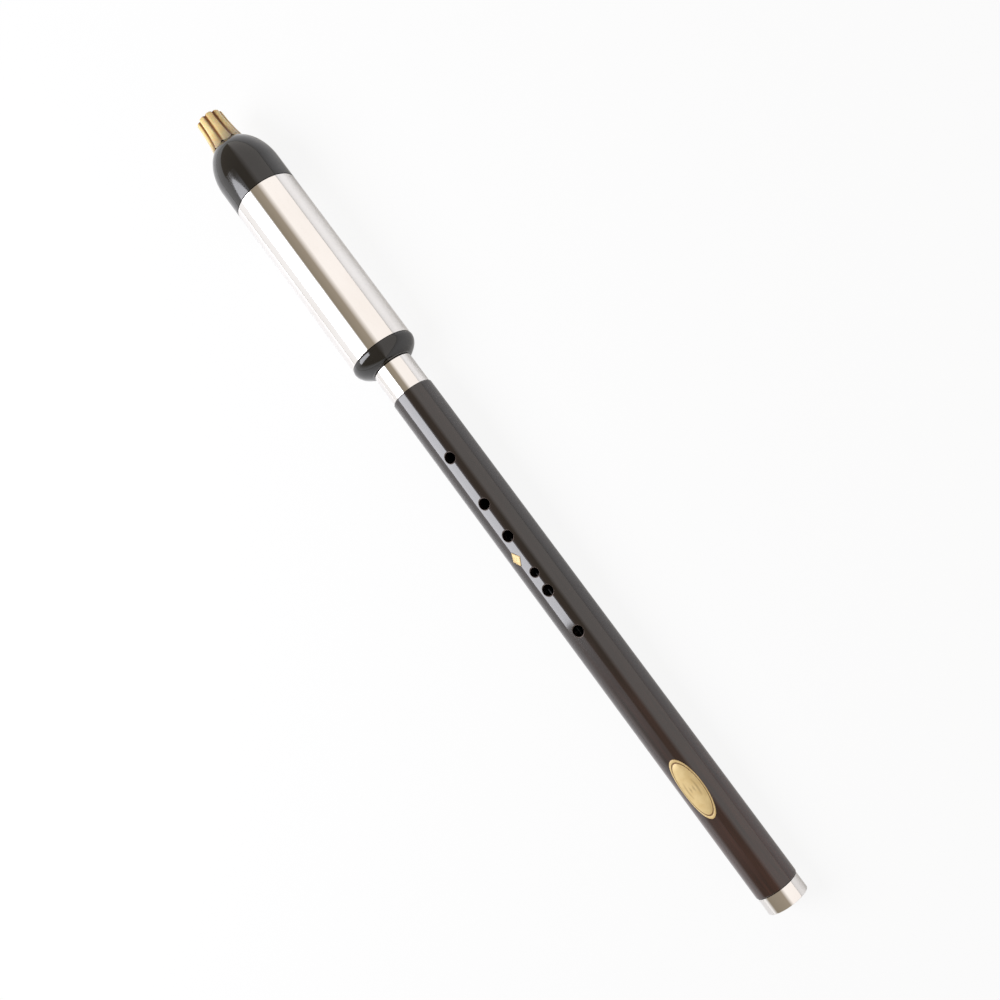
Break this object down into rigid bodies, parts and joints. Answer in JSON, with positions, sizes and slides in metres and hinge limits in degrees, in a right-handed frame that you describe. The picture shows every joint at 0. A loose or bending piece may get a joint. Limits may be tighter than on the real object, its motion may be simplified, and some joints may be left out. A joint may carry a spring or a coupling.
{
  "type": "vertical bawu",
  "caption": "Vertical bawu: dark wooden pipe with finger holes, free reed in a nickel silver wind chamber, black domed cap and fluted mouthpiece.",
  "frame": {"origin": "on the bore's axis, halfway along the instrument", "axes": "+X along the bore from the foot to the mouthpiece, +Z where the finger holes face"},
  "size_m": [0.4704, 0.0344, 0.0344],
  "materials": {
    "nickel_silver": "polished nickel silver",
    "dark_wood": "polished dark hardwood",
    "black_resin": "high gloss black",
    "pale_horn": "polished pale horn",
    "reed_brass": "satin brass",
    "reed_pipe_wood": "oiled bamboo",
    "stopper_cork": "cork",
    "packing_thread": "waxed thread",
    "seal_rubber": "matte rubber",
    "seal_wax": "sealing wax",
    "gold_foil": "plain gold foil"
  },
  "bodies": {
    "body": {"foot_ferrule": "nickel_silver", "body_tube": "dark_wood", "joint_ferrule": "nickel_silver", "joint_socket": "nickel_silver", "oval_plate": "gold_foil", "key_inlay": "gold_foil"},
    "tenon_packing": {"tenon_wrap_lower": "packing_thread", "tenon_wrap_upper": "packing_thread"},
    "head": {"joint_tenon": "nickel_silver", "chamber_ring": "black_resin", "ring_seal": "seal_rubber", "chamber_sleeve": "nickel_silver", "chamber_liner": "black_resin", "reed_pipe": "reed_pipe_wood", "reed_pipe_plug": "stopper_cork", "reed_plate": "reed_brass", "reed_wax": "seal_wax"},
    "tongue": {"reed_tongue": "reed_brass"},
    "cap_packing": {"cap_seal": "seal_rubber"},
    "cap": {"dome_cap": "black_resin", "mouthpiece_collar": "black_resin", "mouthpiece": "pale_horn"}
  },
  "joints": [
    {"name": "tuning_slide", "type": "slide", "parent": "body", "child": "tenon_packing", "axis": [1, 0, 0], "range_m": [0, 0.034]},
    {"name": "head_swivel", "type": "hinge", "parent": "tenon_packing", "child": "head", "pos_m": [0.07405, 0, 0], "axis": [1, 0, 0], "continuous": true},
    {"name": "tongue_flex", "type": "hinge", "parent": "head", "child": "tongue", "pos_m": [0.13145, 0, 0.00785], "axis": [0, 1, 0], "range_deg": [-4, 4], "stiffness_Nm_per_rad": 0.0005},
    {"name": "cap_slide", "type": "slide", "parent": "head", "child": "cap_packing", "axis": [1, 0, 0], "range_m": [0, 0.014]},
    {"name": "cap_swivel", "type": "hinge", "parent": "cap_packing", "child": "cap", "pos_m": [0.18335, 0, 0], "axis": [1, 0, 0], "continuous": true}
  ]
}
